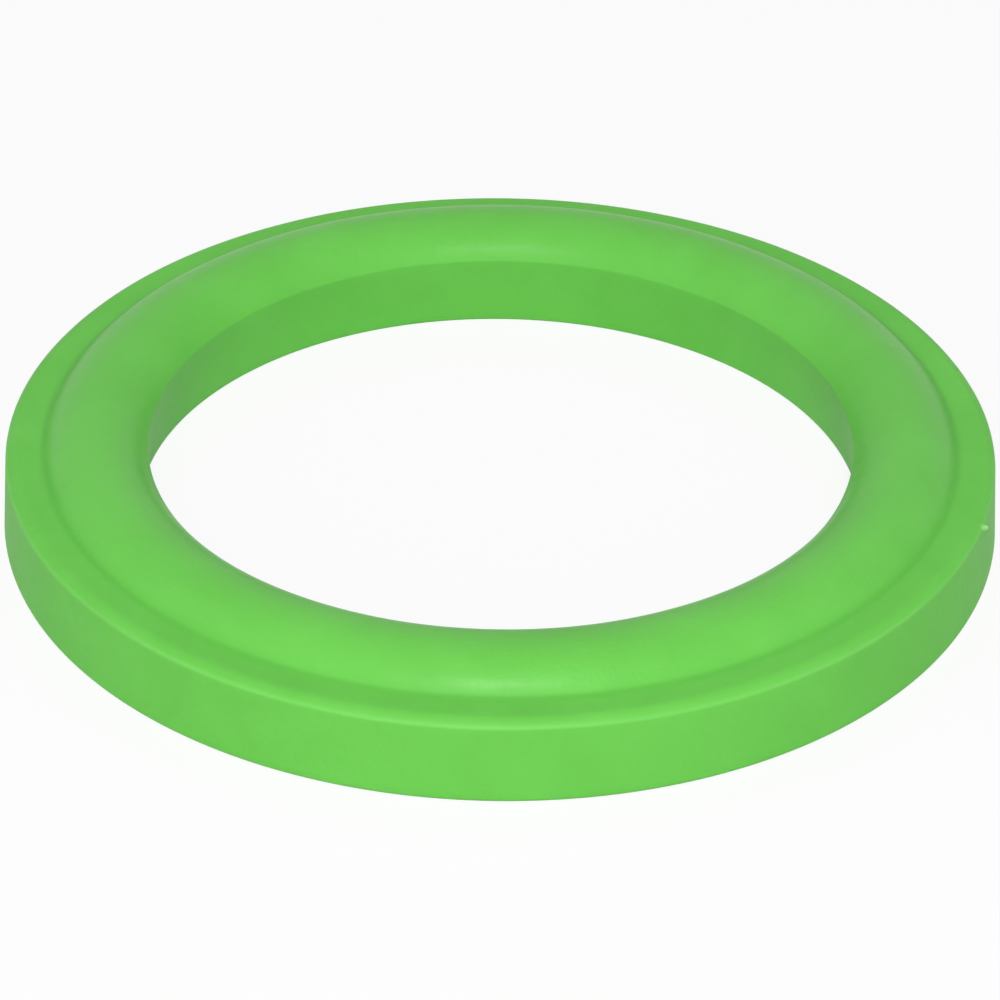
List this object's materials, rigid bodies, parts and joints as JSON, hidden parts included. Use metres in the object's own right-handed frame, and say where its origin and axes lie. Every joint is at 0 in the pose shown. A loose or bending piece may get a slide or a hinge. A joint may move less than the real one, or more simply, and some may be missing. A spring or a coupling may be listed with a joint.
{
  "type": "trap seal ring",
  "caption": "Soft green sealing ring with a domed bead, a raised outer lip, a plain bore and a flat underside, for the joint of a waste trap.",
  "frame": {"origin": "middle of the flat underside, on the ring's axis", "axes": "+Z along the ring's axis, from the flat underside towards the domed bead"},
  "size_m": [0.0566, 0.0566, 0.0064],
  "materials": {
    "green_rubber": "satin, finely grained, moulded"
  },
  "bodies": {
    "root": {"seal_ring": "green_rubber"}
  },
  "joints": []
}
